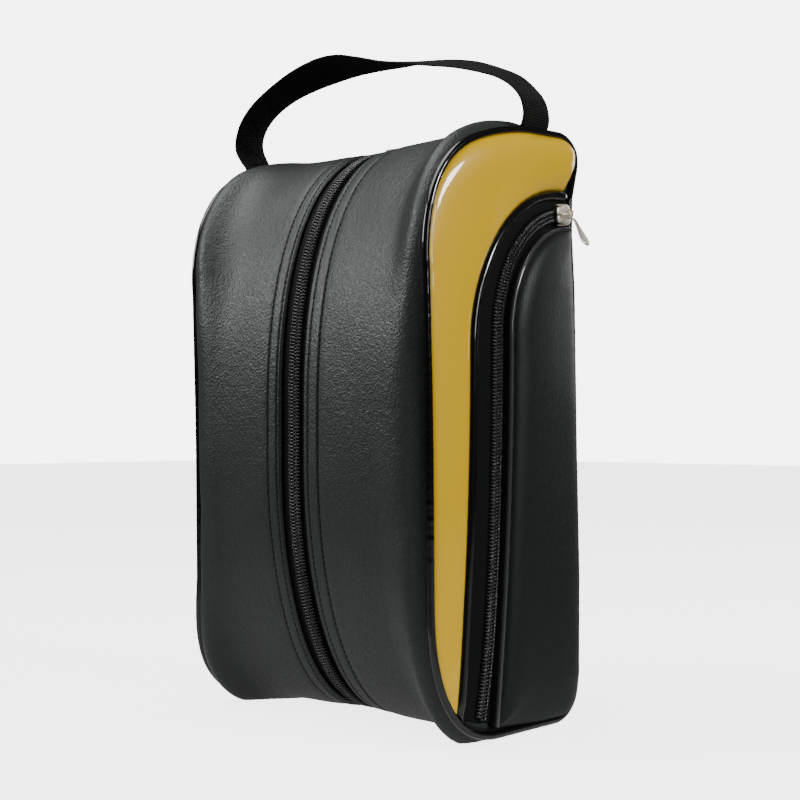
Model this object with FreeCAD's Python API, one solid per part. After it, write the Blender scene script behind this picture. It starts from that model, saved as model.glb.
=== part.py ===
import FreeCAD, Part
import math
import os

# Golf shoe bag: two half shells joined by a soft back spine, closed by one long zip that runs
# over the top, down the front and under the base. Each side has a zipped flat pocket.
# Millimetres. X is the width, -Y the zipped front, +Z up, origin in the middle of the base.

os.makedirs("parts", exist_ok=True)
V = FreeCAD.Vector

# Body of the bag
BAG_WIDTH = 209.0
BAG_DEPTH = 130.0
BAG_HEIGHT = 353.0
FRONT = -BAG_DEPTH / 2
BACK = BAG_DEPTH / 2
FRONT_RADIUS = 62.0
BACK_RADIUS = 14.0
PIPING_RADIUS = 2.0

# Gusset: the strip that wraps front, top, back and base between the two side panels
GUSSET_FRONT = -66.5
GUSSET_BACK = 62.0
GUSSET_BASE = 4.0
GUSSET_TOP = 352.0
GUSSET_EDGE = 100.4
LEATHER = 1.4
FOAM = 3.0
LINING = 0.6
ZIP_GAP = 11.5
SPINE_HALF = 12.0
FLEX_GAP = 0.6
BACK_PANEL_START = 47.0

# Main zip
TAPE = 0.8
TAPE_HALF = 23.0
COIL_HALF = 5.2
ZIP_SLIT = 0.4
TAPE_END_Y = 45.0
COIL_END_Y = 42.0
TAB_HALF = 11.0
TAB_START_Y = 46.0
TAB_END_Y = 60.0
SPINE_START_Y = 50.0

# Side panels, measured outward from the middle of the bag
SIDE_LINING_X = (96.6, 97.2)
SIDE_FOAM_X = (97.3, 100.3)
SIDE_BACKING_X = (100.4, 102.4)
PATENT_X = (102.5, 105.0)
BINDING_X = (102.5, 104.6)
POCKET_TAPE_X = (102.5, 103.2)
POCKET_COIL_X = (103.3, 105.4)
POCKET_COIL_HALF = 5.0
POCKET_LINING_X = (102.5, 103.1)
POCKET_RIM_X = (102.5, 109.0)
POCKET_PANEL_X = (109.1, 111.3)

# Pocket zip: an arc over the top corner, then a long easy curve down to the base
ARC_Y = 60.0
ARC_Z = 238.0
ZIP_ARC = 68.5
ZIP_RUN = 1330.0
ZIP_FOOT = 21.0
ZIP_HEAD_Y = 63.0
PATENT_ARC_Y = 57.0
PATENT_ARC_Z = 236.0
PATENT_ARC = 88.0
PATENT_RUN = 1372.0

# Sliders
POCKET_SLIDER_ANGLE = math.radians(7.0)
PULL_LEAN = 30.0

MAIN_SLIDER_Y = 33.0
PLATE = 1.4
BRIDGE_HEIGHT = 5.0
BRIDGE = 1.2
BRIDGE_HALF = 0.9
RING_RADIUS = 2.5
RING_WIRE = 0.5

# Handle webbing
WEBBING_WIDTH = 25.0
WEBBING = 1.8

# The coil stands proud at the front, so the bag sits back by half of that
SHIFT_Y = 1.1


def save(shape, name):
    placed = shape.copy()
    placed.translate(V(0, SHIFT_Y, 0))
    placed.exportStep("parts/" + name + ".step")


def box(x0, x1, y0, y1, z0, z1):
    return Part.makeBox(x1 - x0, y1 - y0, z1 - z0, V(x0, y0, z0))


def side_of(x_range, side):
    """Return the low and high x of a layer on the right (side 1) or left (side -1)."""
    low = min(side * x_range[0], side * x_range[1])
    high = max(side * x_range[0], side * x_range[1])
    return low, high


def rounded(y0, y1, z0, z1, front_radius, back_radius, x):
    """Wire of a rectangle in a plane of constant x, with its own front and back radii."""
    f = front_radius
    b = back_radius
    h = math.sqrt(0.5)
    lines = [
        (V(x, y0, z0 + f), V(x, y0, z1 - f)),
        (V(x, y0 + f, z1), V(x, y1 - b, z1)),
        (V(x, y1, z1 - b), V(x, y1, z0 + b)),
        (V(x, y1 - b, z0), V(x, y0 + f, z0)),
    ]
    middles = [
        V(x, y0 + f - f * h, z1 - f + f * h),
        V(x, y1 - b + b * h, z1 - b + b * h),
        V(x, y1 - b + b * h, z0 + b - b * h),
        V(x, y0 + f - f * h, z0 + f - f * h),
    ]
    edges = []
    for i in range(4):
        edges.append(Part.LineSegment(lines[i][0], lines[i][1]).toShape())
        following = lines[(i + 1) % 4][0]
        edges.append(Part.Arc(lines[i][1], middles[i], following).toShape())
    return Part.Wire(edges)


def side_plate(inset, x_range, side):
    """Plate in the outline of the side panel, pulled in by inset all round."""
    low, high = side_of(x_range, side)
    wire = rounded(
        FRONT + inset, BACK - inset, inset, BAG_HEIGHT - inset,
        FRONT_RADIUS - inset, BACK_RADIUS - inset, low,
    )
    return Part.Face(wire).extrude(V(high - low, 0, 0))


def gusset_solid(depth, x0, x1):
    """Solid block inside the gusset, its faces depth below the gusset's outer face."""
    wire = rounded(
        GUSSET_FRONT + depth, GUSSET_BACK - depth, GUSSET_BASE + depth, GUSSET_TOP - depth,
        FRONT_RADIUS + 3 - depth, BACK_RADIUS - depth, x0,
    )
    return Part.Face(wire).extrude(V(x1 - x0, 0, 0))


def gusset_ring(outer, inner, x0, x1):
    """Layer of the gusset between two depths below its outer face."""
    return gusset_solid(outer, x0, x1).cut(gusset_solid(inner, x0 - 1, x1 + 1))


def front_part(shape, y_end):
    return shape.common(box(-200, 200, -200, y_end, -50, 500))


def back_part(shape, y_start):
    return shape.common(box(-200, 200, y_start, 200, -50, 500))


def mirrored(shape, side):
    if side > 0:
        return shape
    return shape.mirror(V(0, 0, 0), V(1, 0, 0))


def track(centre_y, centre_z, arc, run, offset, x, head_y, foot_z):
    """Edges of a zip-like line at an offset outward from its middle, and its two ends."""
    radius = arc + offset
    long_radius = run - offset
    start = math.asin((head_y - centre_y) / radius)
    head = V(x, head_y, centre_z + radius * math.cos(start))
    half = (math.pi / 2 - start) / 2
    middle = V(
        x, centre_y - radius * math.sin(half - start), centre_z + radius * math.cos(half - start)
    )
    knee = V(x, centre_y - radius, centre_z)
    long_centre_y = centre_y - arc - run
    drop = math.asin((centre_z - foot_z) / long_radius)
    waist = V(
        x, long_centre_y + long_radius * math.cos(drop / 2),
        centre_z - long_radius * math.sin(drop / 2),
    )
    foot = V(x, long_centre_y + long_radius * math.cos(drop), foot_z)
    edges = [Part.Arc(head, middle, knee).toShape(), Part.Arc(knee, waist, foot).toShape()]
    return edges, head, foot


def zip_track(offset, x, head_y=ZIP_HEAD_Y, foot_z=ZIP_FOOT):
    return track(ARC_Y, ARC_Z, ZIP_ARC, ZIP_RUN, offset, x, head_y, foot_z)


def patent_track(offset, x, head_y, foot_z):
    return track(
        PATENT_ARC_Y, PATENT_ARC_Z, PATENT_ARC, PATENT_RUN, offset, x, head_y, foot_z
    )


def band(first, second, thickness):
    """Flat strip between two tracks, closed at both ends."""
    edges = first[0] + second[0]
    edges.append(Part.LineSegment(first[1], second[1]).toShape())
    edges.append(Part.LineSegment(first[2], second[2]).toShape())
    wire = Part.Wire(Part.__sortEdges__(edges))
    return Part.Face(wire).extrude(V(thickness, 0, 0))


def behind(line, x, thickness):
    """Everything between a track and the back and base of the side panel."""
    corner_top = V(x, 150, line[1].z)
    corner_base = V(x, 150, line[2].z)
    edges = list(line[0])
    edges.append(Part.LineSegment(line[1], corner_top).toShape())
    edges.append(Part.LineSegment(corner_top, corner_base).toShape())
    edges.append(Part.LineSegment(corner_base, line[2]).toShape())
    wire = Part.Wire(Part.__sortEdges__(edges))
    return Part.Face(wire).extrude(V(thickness, 0, 0))


def make_piping():
    """Corded edge that follows the whole outline of one side panel."""
    inset = PIPING_RADIUS
    x = BAG_WIDTH / 2 - 2.0
    path = rounded(
        FRONT + inset, BACK - inset, inset, BAG_HEIGHT - inset,
        FRONT_RADIUS - inset, BACK_RADIUS - inset, x,
    )
    start = V(x, FRONT + inset, BAG_HEIGHT / 2)
    ring = Part.Wire(Part.makeCircle(PIPING_RADIUS, start, V(0, 0, 1)))
    centre = V(x, 0, BAG_HEIGHT / 2)
    straight_front = BAG_HEIGHT - 2 * FRONT_RADIUS
    solids = [
        Part.makeCylinder(PIPING_RADIUS, straight_front, V(x, FRONT + inset, FRONT_RADIUS)),
        Part.makeCylinder(
            PIPING_RADIUS, BAG_HEIGHT - 2 * BACK_RADIUS, V(x, BACK - inset, BACK_RADIUS)
        ),
    ]
    for z in (inset, BAG_HEIGHT - inset):
        solids.append(
            Part.makeCylinder(
                PIPING_RADIUS, BAG_DEPTH - FRONT_RADIUS - BACK_RADIUS,
                V(x, FRONT + FRONT_RADIUS, z), V(0, 1, 0),
            )
        )
    for y, radius, sign in (
        (FRONT + FRONT_RADIUS, FRONT_RADIUS, -1), (BACK - BACK_RADIUS, BACK_RADIUS, 1)
    ):
        for z, up in ((FRONT_RADIUS, -1), (BAG_HEIGHT - FRONT_RADIUS, 1)):
            if sign > 0:
                z = BACK_RADIUS if up < 0 else BAG_HEIGHT - BACK_RADIUS
            torus = Part.makeTorus(radius - inset, PIPING_RADIUS, V(x, y, z), V(1, 0, 0))
            quarter = box(
                x - 5, x + 5, min(y, y + sign * 90), max(y, y + sign * 90),
                min(z, z + up * 90), max(z, z + up * 90),
            )
            solids.append(torus.common(quarter))
    return solids[0].multiFuse(solids[1:]).removeSplitter()


def make_patent(side_x):
    """Glossy panel between the front piping and the pocket zip, pointed at the base."""
    plate = side_plate(2 * PIPING_RADIUS + 0.1, side_x, 1)
    inner = behind(patent_track(0, side_x[0] - 1, 80.0, -20.0), side_x[0] - 1, 10)
    return plate.cut(inner)


def make_binding():
    """Gloss strip sewn over the edge between the glossy panel and the zip tape."""
    x = BINDING_X[0]
    outer = patent_track(-0.1, x, 61.5, 38.0)
    inner = zip_track(12.6, x, 61.5, 38.0)
    strip = band(outer, inner, BINDING_X[1] - x)
    return strip.common(side_plate(2 * PIPING_RADIUS + 0.2, (90, 120), 1))


def make_zip_strip(first, second, x_range, head_y, foot_z):
    x = x_range[0]
    return band(
        zip_track(first, x, head_y, foot_z), zip_track(second, x, head_y, foot_z),
        x_range[1] - x,
    )


def make_pocket_panel():
    x = POCKET_PANEL_X[0]
    region = behind(zip_track(-7.0, x, 80.0, 14.0), x, POCKET_PANEL_X[1] - x)
    return region.common(side_plate(5.0, (90, 120), 1))


def make_pocket_lining():
    x = POCKET_LINING_X[0]
    region = behind(zip_track(-11.5, x, 80.0, 18.0), x, POCKET_LINING_X[1] - x)
    return region.common(side_plate(5.0, (90, 120), 1))


def make_pocket_rim():
    """Piped edge of the pocket panel, which stands the panel off the side of the bag."""
    return make_zip_strip(-7.4, -10.8, POCKET_RIM_X, 60.0, 14.5)


def make_slider(length, half_width, flange):
    """Zip slider: top plate with folded flanges and an arched bridge, along +Y, up +Z."""
    plate = box(-half_width, half_width, -length / 2, length / 2, 0, PLATE)
    nose = Part.makeCylinder(half_width - 1.5, PLATE, V(0, length / 2 - 2.5, 0))
    plate = plate.fuse(nose)
    for side in (1, -1):
        low, high = side_of((half_width - 1.0, half_width), side)
        plate = plate.fuse(box(low, high, -length / 2, length / 2, -flange, 0))
    reach = length * 0.36
    bridge = box(-BRIDGE_HALF, BRIDGE_HALF, -reach, reach, PLATE - 0.4, BRIDGE_HEIGHT)
    window = box(
        -3, 3, -reach + 1.8, reach - 1.8, PLATE, BRIDGE_HEIGHT - BRIDGE
    )
    return plate.fuse(bridge.cut(window)).removeSplitter()


def make_long_pull(length, width, thickness, slot_length):
    """Flat pull along -Y; its cross bar lies on the origin and the slot clears the bridge."""
    half = thickness / 2
    tab = box(-width / 2, width / 2, -length, -slot_length, -half, half)
    toe = Part.makeCylinder(width / 2, thickness, V(0, -length, -half))
    head = box(-4.2, 4.2, -slot_length - 1.0, half, -half, half)
    slot = box(-2.4, 2.4, -slot_length, -half, -5, 5)
    hole = Part.makeCylinder(width * 0.24, 10, V(0, -length + 0.5, -5))
    return tab.fuse(toe).fuse(head).cut(slot).cut(hole).removeSplitter()


def make_hanging_pull(length, width, thickness, stand_off):
    """Ring round the bridge with a flat pull below it, its plane facing +X."""
    ring = Part.makeTorus(RING_RADIUS, RING_WIRE, V(0, 0, 0), V(0, 1, 0))
    low = -RING_RADIUS - 0.9
    neck = box(-0.6, stand_off + thickness, -1.2, 1.2, low, -RING_RADIUS + 0.2)
    tab = box(stand_off, stand_off + thickness, -width / 2, width / 2, -length, low)
    toe = Part.makeCylinder(width / 2, thickness, V(stand_off, 0, -length), V(1, 0, 0))
    hole = Part.makeCylinder(width * 0.24, 10, V(-5, 0, -length + 0.5), V(1, 0, 0))
    return ring.fuse(neck).fuse(tab).fuse(toe).cut(hole).removeSplitter()


def make_handle():
    """Flat webbing strap that arches over the top from one side seam to the other."""
    # x, y, z of the middle of the webbing and its roll about its own length in degrees
    stations = [
        (-105, -5, 353.7, 0), (-112, -5, 364, -8), (-112, -5, 374, -8), (-107, -5, 383, -3),
        (-97, -4, 392, 2), (-82, -2, 400, 8), (-64, 0, 406, 18), (-46, 3, 410, 24),
        (-29, 5, 411, 20), (-11, 7, 409, 8), (7, 9, 406, -4), (25, 11, 404, -13),
        (43, 13, 401, -18), (61, 15, 397, -18), (78, 17, 391, -14), (91, 19, 385, -10),
        (101, 20, 377, -4), (107, 20, 369, -2), (108, 21, 361, 0), (105, 21, 353.7, 0),
    ]
    sections = []
    for i, station in enumerate(stations):
        before = stations[max(i - 1, 0)]
        after = stations[min(i + 1, len(stations) - 1)]
        along = V(after[0] - before[0], 0, after[2] - before[2])
        along.normalize()
        roll = math.radians(station[3])
        flat = V(0, math.cos(roll), -math.sin(roll))
        if i in (0, len(stations) - 1):
            along = V(0, 0, 1 if i == 0 else -1)
        out = along.cross(flat)
        out.normalize()
        middle = V(station[0], station[1], station[2])
        across = flat * (WEBBING_WIDTH / 2)
        half = out * (WEBBING / 2)
        corners = [
            middle - across - half, middle + across - half,
            middle + across + half, middle - across + half,
        ]
        sections.append(Part.makePolygon(corners + [corners[0]]))
    return Part.makeLoft(sections, True, False)


def build_wall(side, name):
    """One half shell: side panel, its pocket, and its half of the gusset and main zip."""
    edge = GUSSET_EDGE
    inner_start = SPINE_HALF + FLEX_GAP
    depth_foam = LEATHER + 0.05
    depth_lining = depth_foam + FOAM + 0.05
    split = BACK_PANEL_START
    leather = front_part(gusset_ring(0, LEATHER, ZIP_GAP, edge), split)
    save(mirrored(leather, side), "gusset_leather_" + name)
    foam = front_part(gusset_ring(depth_foam, depth_foam + FOAM, TAPE_HALF + 0.5, 96.5), split)
    save(mirrored(foam, side), "gusset_foam_" + name)
    lining = gusset_ring(depth_lining, depth_lining + LINING, TAPE_HALF - 3, 96.5)
    save(mirrored(front_part(lining, split), side), "gusset_lining_" + name)
    back = back_part(gusset_ring(0, LEATHER, inner_start, edge), split + 0.1)
    save(mirrored(back, side), "back_leather_" + name)
    back_foam = gusset_ring(depth_foam, depth_foam + FOAM, TAPE_HALF + 0.5, 96.5)
    save(mirrored(back_part(back_foam, split + 0.1), side), "back_foam_" + name)
    back_lining = gusset_ring(depth_lining, depth_lining + LINING, TAPE_HALF - 3, 96.5)
    save(mirrored(back_part(back_lining, split + 0.1), side), "back_lining_" + name)

    tape_depth = LEATHER + 0.1
    tape = front_part(
        gusset_ring(tape_depth, tape_depth + TAPE, ZIP_SLIT, TAPE_HALF), TAPE_END_Y
    )
    save(mirrored(tape, side), "main_zip_tape_" + name)
    coil = front_part(gusset_ring(-0.7, tape_depth - 0.05, ZIP_SLIT, COIL_HALF), COIL_END_Y)
    save(mirrored(coil, side), "main_zip_coil_" + name)

    save(mirrored(side_plate(6.2, SIDE_LINING_X, 1), side), "side_lining_" + name)
    save(mirrored(side_plate(6.0, SIDE_FOAM_X, 1), side), "side_foam_" + name)
    save(mirrored(side_plate(4.1, SIDE_BACKING_X, 1), side), "side_backing_" + name)
    save(mirrored(make_piping(), side), "side_piping_" + name)
    save(mirrored(make_patent(PATENT_X), side), "patent_panel_" + name)
    save(mirrored(make_binding(), side), "pocket_binding_" + name)
    tape_outer = make_zip_strip(12.5, 0.3, POCKET_TAPE_X, 60.5, ZIP_FOOT)
    save(mirrored(tape_outer, side), "pocket_tape_outer_" + name)
    tape_inner = make_zip_strip(-0.3, -7.3, POCKET_TAPE_X, 60.5, ZIP_FOOT)
    save(mirrored(tape_inner, side), "pocket_tape_inner_" + name)
    coil_outer = make_zip_strip(POCKET_COIL_HALF, 0.15, POCKET_COIL_X, 60.0, ZIP_FOOT + 1)
    save(mirrored(coil_outer, side), "pocket_coil_outer_" + name)
    coil_inner = make_zip_strip(-0.15, -POCKET_COIL_HALF, POCKET_COIL_X, 60.0, ZIP_FOOT + 1)
    save(mirrored(coil_inner, side), "pocket_coil_inner_" + name)
    save(mirrored(make_pocket_rim(), side), "pocket_piping_" + name)
    save(mirrored(make_pocket_panel(), side), "pocket_panel_" + name)
    save(mirrored(make_pocket_lining(), side), "pocket_lining_" + name)


def build_pocket_slider(side, name):
    """Slider and pull parked at the upper back end of the pocket zip."""
    slider = make_slider(14.0, 6.6, 1.6)
    slider.rotate(V(0, 0, 0), V(0, 1, 0), 90)
    slider.rotate(V(0, 0, 0), V(1, 0, 0), math.degrees(POCKET_SLIDER_ANGLE))
    x = POCKET_COIL_X[1] + 0.5
    y = ARC_Y - ZIP_ARC * math.sin(POCKET_SLIDER_ANGLE)
    z = ARC_Z + ZIP_ARC * math.cos(POCKET_SLIDER_ANGLE)
    slider.translate(V(x, y, z))
    save(mirrored(slider, side), "pocket_slider_" + name)
    pull = make_hanging_pull(22.0, 10.0, 1.4, 0.8)
    pull.rotate(V(0, 0, 0), V(0, 1, 0), -PULL_LEAN)
    ring_height = BRIDGE_HEIGHT - BRIDGE - 1.2 + RING_RADIUS
    pull.translate(V(x + ring_height, y, z))
    save(mirrored(pull, side), "pocket_pull_" + name)


def build_root():
    """Back spine, the tabs that finish both ends of the main zip, and the handle."""
    half = SPINE_HALF
    start = SPINE_START_Y
    depth_foam = LEATHER + 0.05
    depth_lining = depth_foam + FOAM + 0.05
    save(back_part(gusset_ring(0, LEATHER, -half, half), start), "back_spine_leather")
    foam = gusset_ring(depth_foam, depth_foam + FOAM, -half, half)
    save(back_part(foam, start), "back_spine_foam")
    lining = gusset_ring(depth_lining, depth_lining + LINING, -half, half)
    save(back_part(lining, start), "back_spine_lining")
    tabs = gusset_ring(-2.4, -1.1, -TAB_HALF, TAB_HALF).common(
        box(-50, 50, TAB_START_Y, TAB_END_Y, -50, 500)
    )
    middle = BAG_HEIGHT / 2
    save(tabs.common(box(-50, 50, -200, 200, middle, 500)), "zip_end_tab_top")
    save(tabs.common(box(-50, 50, -200, 200, -50, middle)), "zip_end_tab_base")
    save(make_handle(), "handle_webbing")


def build_main_slider():
    """Slider and long pull parked at the closed top end of the main zip."""
    base = GUSSET_TOP + 1.2
    slider = make_slider(17.0, 6.8, 0.3)
    slider.rotate(V(0, 0, 0), V(0, 0, 1), 180)
    slider.translate(V(0, MAIN_SLIDER_Y, base))
    save(slider, "main_slider")
    pull = make_long_pull(29.0, 11.0, 1.5, 7.4)
    pull.translate(V(0, MAIN_SLIDER_Y, base + PLATE + 1.15))
    save(pull, "main_pull")


for wall_side, wall_name in ((1, "right"), (-1, "left")):
    build_wall(wall_side, wall_name)
    build_pocket_slider(wall_side, wall_name)
build_root()
build_main_slider()
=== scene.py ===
"""Looks of the golf shoe bag: soft shells, zips, piping, padded side panels and webbing."""

import math

import bpy
import numpy as np
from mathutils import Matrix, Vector


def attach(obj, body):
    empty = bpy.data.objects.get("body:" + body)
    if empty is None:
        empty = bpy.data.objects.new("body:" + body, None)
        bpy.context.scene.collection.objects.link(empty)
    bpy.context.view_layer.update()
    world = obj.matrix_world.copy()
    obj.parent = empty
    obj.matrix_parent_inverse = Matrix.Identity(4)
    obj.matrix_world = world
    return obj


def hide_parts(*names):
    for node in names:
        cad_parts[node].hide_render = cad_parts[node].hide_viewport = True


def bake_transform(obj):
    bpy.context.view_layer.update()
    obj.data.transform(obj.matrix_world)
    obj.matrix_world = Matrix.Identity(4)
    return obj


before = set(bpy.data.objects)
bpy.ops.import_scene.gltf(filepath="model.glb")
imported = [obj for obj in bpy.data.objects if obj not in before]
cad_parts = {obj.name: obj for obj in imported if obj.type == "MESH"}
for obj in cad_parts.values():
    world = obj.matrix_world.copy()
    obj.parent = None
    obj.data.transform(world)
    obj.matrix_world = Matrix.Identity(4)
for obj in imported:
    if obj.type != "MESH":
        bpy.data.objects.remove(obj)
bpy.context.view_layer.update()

SHIFT_Y = 1.1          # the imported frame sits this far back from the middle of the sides
MIDDLE = (0.0, 176.0)  # y, z of the pole used for polar outlines
SIDES = ((1, "right"), (-1, "left"))
PITCH = 2.0            # one zip tooth to the next on the same side
SIDE_X = 102.6         # half width of the bag at the middle of its sides
GUSSET_X = 101         # half width of the gusset, where it meets the side
TOP_Z = 352.0          # height of the gusset's top and of its base
BASE_Z = 4.0
FRONT_DRAWN = {1: 3.4, -1: 7.4}  # how far the front of each side is drawn in
WEBBING_HALF = 12.5    # half width and half thickness of the handle webbing
WEBBING_THIN = 0.95
LEATHER = 1.4          # leather and lining thickness, and depth of the lining's two faces
LINING_TOP = 4.6
LINING_UNDER = 5.2


# ---------------------------------------------------------------- numbers and curves

def smoothstep(low, high, value):
    t = np.clip((value - low) / (high - low), 0, 1)
    return t * t * (3 - 2 * t)


def bump(value, middle, width):
    return np.exp(-((value - middle) / width) ** 2)


def resample(points, count):
    """Points at even spacing along an open polyline."""
    points = np.asarray(points, float)
    step = np.linalg.norm(np.diff(points, axis=0), axis=1)
    along = np.concatenate([[0], np.cumsum(step)])
    wanted = np.linspace(0, along[-1], count)
    return np.stack([np.interp(wanted, along, points[:, k]) for k in range(points.shape[1])], 1)


def tangents(points, closed=False):
    if closed:
        t = np.roll(points, -1, 0) - np.roll(points, 1, 0)
    else:
        t = np.gradient(points, axis=0)
    return t / np.maximum(np.linalg.norm(t, axis=1, keepdims=True), 1e-9)


def corner(y0, z0, a, b, power, y_sign, z_sign, count=60):
    """Quarter of a superellipse from straight above or below (y0, z0) round to its side."""
    angle = np.linspace(0, math.pi / 2, count)
    y = y0 + y_sign * a * np.sin(angle) ** (2 / power)
    z = z0 + z_sign * b * np.cos(angle) ** (2 / power)
    return np.stack([y, z], 1)


def outline(front, back, base, top, upper, lower, back_radius):
    """Closed side outline: upper and lower are (depth, height, power) of the front corners."""
    a, b, n = upper
    c, d, m = lower
    r = back_radius
    parts = [
        corner(front + a, top - b, a, b, n, -1, 1),
        corner(front + c, base + d, c, d, m, -1, -1)[::-1],
        corner(back - r, base + r, r, r, 2, 1, -1, 16),
        corner(back - r, top - r, r, r, 2, 1, 1, 16)[::-1],
    ]
    return np.concatenate(parts)


class Polar:
    """Radius of a closed outline for an angle round the middle, 0 to the back, up positive."""

    def __init__(self, points):
        y = points[:, 0] - MIDDLE[0]
        z = points[:, 1] - MIDDLE[1]
        angle = np.arctan2(z, y) % (2 * math.pi)
        order = np.argsort(angle)
        self.angle = angle[order]
        self.radius = np.hypot(y, z)[order]

    def __call__(self, angle):
        return np.interp(angle, self.angle, self.radius, period=2 * math.pi)


SIDE_LOOP = outline(-61.9, 65.0, 2.4, 349.3, (82, 84, 2.5), (58, 78, 2.5), 17)
SIDE_LOOP[:, 0] -= 4.4 * smoothstep(225, 280, SIDE_LOOP[:, 1]) * smoothstep(
    -30, 30, -SIDE_LOOP[:, 0])
SIDE_LOOP[:, 1] += 5.0 * smoothstep(-25, 35, SIDE_LOOP[:, 0]) * smoothstep(
    250, 349, SIDE_LOOP[:, 1])
ZIP_LOOP = outline(-69.6, 62.0, 4.0, 352.2, (94.5, 163, 2.3), (79.5, 160, 2.2), 12)
side_radius = Polar(resample(np.vstack([SIDE_LOOP, SIDE_LOOP[:1]]), 2400))
zip_radius = Polar(resample(np.vstack([ZIP_LOOP, ZIP_LOOP[:1]]), 2400))


def even_angles(start, end, count):
    """Angles from start to end that give even spacing along the side outline."""
    dense = np.linspace(start, end, 4000)
    r = side_radius(dense)
    points = np.stack([r * np.cos(dense), r * np.sin(dense)], 1)
    along = np.concatenate([[0], np.cumsum(np.linalg.norm(np.diff(points, axis=0), axis=1))])
    return np.interp(np.linspace(0, along[-1], count), along, dense)


def angle_at(y, z):
    return math.atan2(z - MIDDLE[1], y - MIDDLE[0]) % (2 * math.pi)


SEAM_TOP = angle_at(47.0, TOP_Z)
SEAM_BASE = angle_at(47.0, BASE_Z)


def back_edge_x(z):
    """How far out the back edge of a side lies: full at the top, waisted at the zip end."""
    return np.interp(
        z, [0, 30, 90, 200, 262, 295, 318, 334, 344, 353],
        [102.5, 106, 106.5, 104.5, 103, 101, 101, 104.5, 106, 105.5],
    )


FRONT_IN = {"now": FRONT_DRAWN[1]}  # the value for the side being built


def side_x(y, z):
    """Outer x of the side of the bag under its panels."""
    rear = (back_edge_x(z) - SIDE_X) * smoothstep(0, 60, y)
    drawn = 1.4 + (FRONT_IN["now"] - 1.4) * smoothstep(15, 90, z)
    return SIDE_X + rear - drawn * smoothstep(10, 60, -y)


def ripple(x, y, z, scale=1.0):
    """Slow unevenness of filled leather."""
    return scale * (
        0.45 * np.sin(x / 23 + y / 31 + 0.7) * np.sin(z / 37 + 1.3)
        + 0.3 * np.sin(z / 19 + x / 41 + 2.1) * np.sin(y / 27 + x / 17)
        + 0.2 * np.sin(z / 11 + x / 13 + 0.4)
    )


def gusset(x, angle, depth=0.0):
    """Point of the gusset at a distance x from the zip (0 to GUSSET_X) and an angle.

    A negative x asks for the left half, whose shoulder is fuller at the front and base.
    """
    left = np.asarray(x) < 0
    x = np.abs(x)
    flare = 0.25 * (x / GUSSET_X) ** 2 + 0.75 * smoothstep(76, GUSSET_X, x)
    r = zip_radius(angle) * (1 - flare) + (side_radius(angle) - 1.0) * flare
    up, rear = np.sin(angle), np.cos(angle)
    top = smoothstep(0.86, 0.985, up) * (1 - smoothstep(0.1, 0.34, rear))
    base = smoothstep(0.55, 0.85, -up) * (1 - smoothstep(0.1, 0.34, rear))
    front = smoothstep(-0.3, 0.3, -rear)
    full = (0.6 + np.where(left, 4.2, 2.4) * front + np.where(left, 0.3, 3.4) * top
            + np.where(left, 3.6, 5.0) * base
            + np.where(left, 4.6, 0.0) * bump(up, 0.8, 0.22) * front)
    shoulder = bump(x, 90, np.where(left, 18, 12)) * full
    fall = 6.4 * np.clip((x - 89) / 12, 0, 1) ** 2
    swell = 1.1 * bump(x, 55, 30)
    y0 = r * np.cos(angle)
    z0 = r * np.sin(angle) + MIDDLE[1]
    slow = ripple(x, y0, z0) * smoothstep(24, 40, x) * (1 - smoothstep(80, 99, x))
    r = r + swell + slow + shoulder - fall - depth
    y = MIDDLE[0] + r * np.cos(angle)
    z = np.maximum(MIDDLE[1] + r * np.sin(angle), 0.35 + np.maximum(depth + 1.5, 0))
    wide = x * (1 + (side_x(y, z) - SIDE_X) / SIDE_X)
    return np.stack([wide, y, z], -1)


# ---------------------------------------------------------------- meshes

def metres(points, side):
    """Millimetres from the middle of the sides to metres in the shared frame."""
    points = np.array(points, float)
    points[..., 0] *= side
    points[..., 1] += SHIFT_Y
    return points / 1000


def make(name, verts, faces, material, side=1, uv=None):
    """A smooth-shaded object from millimetre verts; side -1 mirrors it to the left."""
    mesh = bpy.data.meshes.new(name)
    verts = metres(verts, side).reshape(-1, 3)
    if side < 0:
        faces = [tuple(reversed(f)) for f in faces]
    mesh.from_pydata([tuple(v) for v in verts], [], [tuple(map(int, f)) for f in faces])
    mesh.materials.append(material)
    mesh.polygons.foreach_set("use_smooth", [True] * len(mesh.polygons))
    if uv is not None:
        layer = mesh.uv_layers.new(name="UVMap")
        loops = np.empty(len(mesh.loops), int)
        mesh.loops.foreach_get("vertex_index", loops)
        layer.data.foreach_set("uv", np.asarray(uv, float).reshape(-1, 2)[loops].ravel())
    mesh.validate()
    mesh.update()
    piece = bpy.data.objects.new(name, mesh)
    bpy.context.scene.collection.objects.link(piece)
    return piece


def grid_faces(rows, cols, closed_cols=False, start=0, flip=False):
    faces = []
    last = cols if closed_cols else cols - 1
    for i in range(rows - 1):
        for j in range(last):
            k = (j + 1) % cols
            f = (
                start + i * cols + j, start + i * cols + k,
                start + (i + 1) * cols + k, start + (i + 1) * cols + j,
            )
            faces.append(f[::-1] if flip else f)
    return faces


def grid_uv(points):
    """Millimetre lengths along both ways of a grid."""
    rows, cols = points.shape[:2]
    u = np.zeros((rows, cols))
    v = np.zeros((rows, cols))
    u[1:] = np.cumsum(np.linalg.norm(np.diff(points, axis=0), axis=2), axis=0)
    v[:, 1:] = np.cumsum(np.linalg.norm(np.diff(points, axis=1), axis=2), axis=1)
    return np.stack([u, v], -1)


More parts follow.
